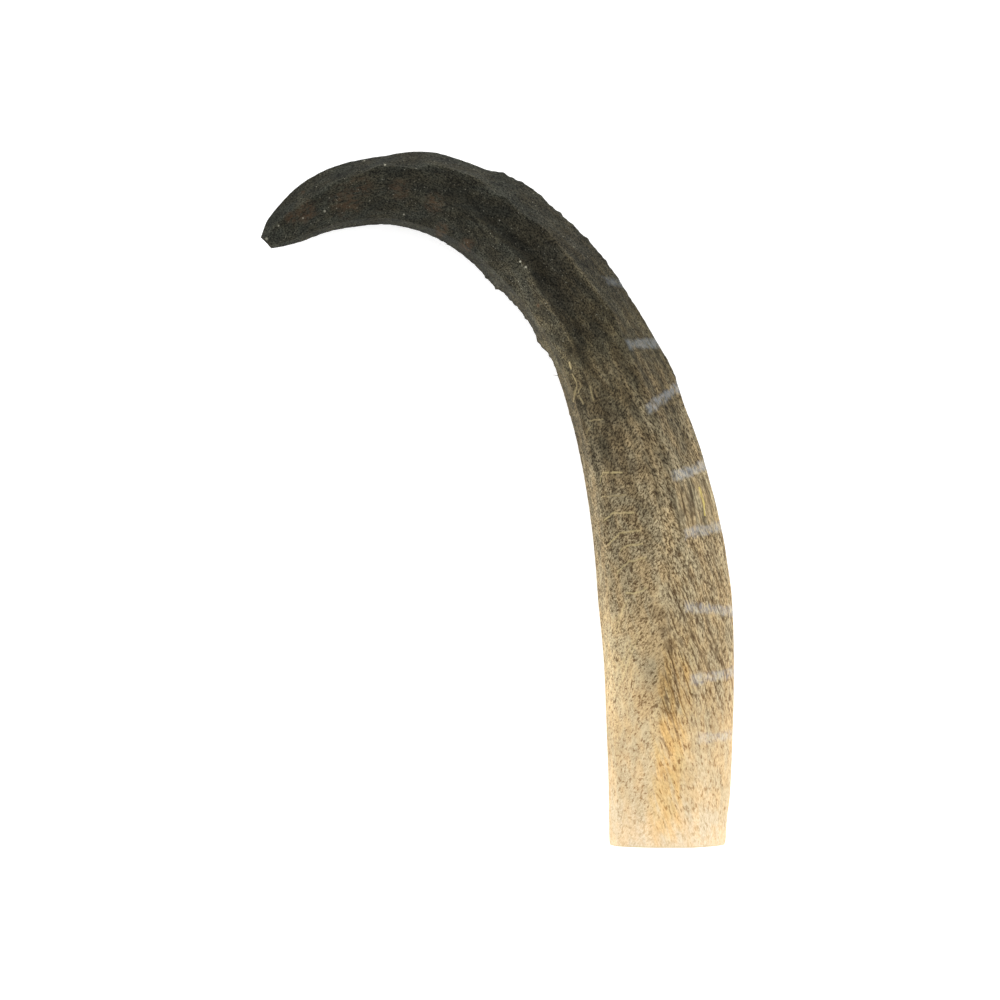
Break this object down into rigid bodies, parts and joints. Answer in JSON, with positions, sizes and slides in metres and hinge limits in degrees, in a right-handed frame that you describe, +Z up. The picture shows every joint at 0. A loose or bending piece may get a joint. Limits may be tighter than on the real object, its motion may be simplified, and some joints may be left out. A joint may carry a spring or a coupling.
{
  "type": "chamois horn",
  "caption": "Hooked chamois horn, cream at its flat sawn base and near black at its blunt tip, with knife-pared facets, lying on its side.",
  "frame": {"origin": "on the table, under the middle of the horn's bounding box", "axes": "+Y from the sawn base towards the top of the hook, +X towards the outer side of the bend, +Z up from the table"},
  "size_m": [0.1092, 0.1598, 0.025],
  "materials": {
    "horn": "matte, fibrous and finely pitted, cream at the base and near black towards the tip"
  },
  "bodies": {
    "root": {"horn": "horn"}
  },
  "joints": []
}
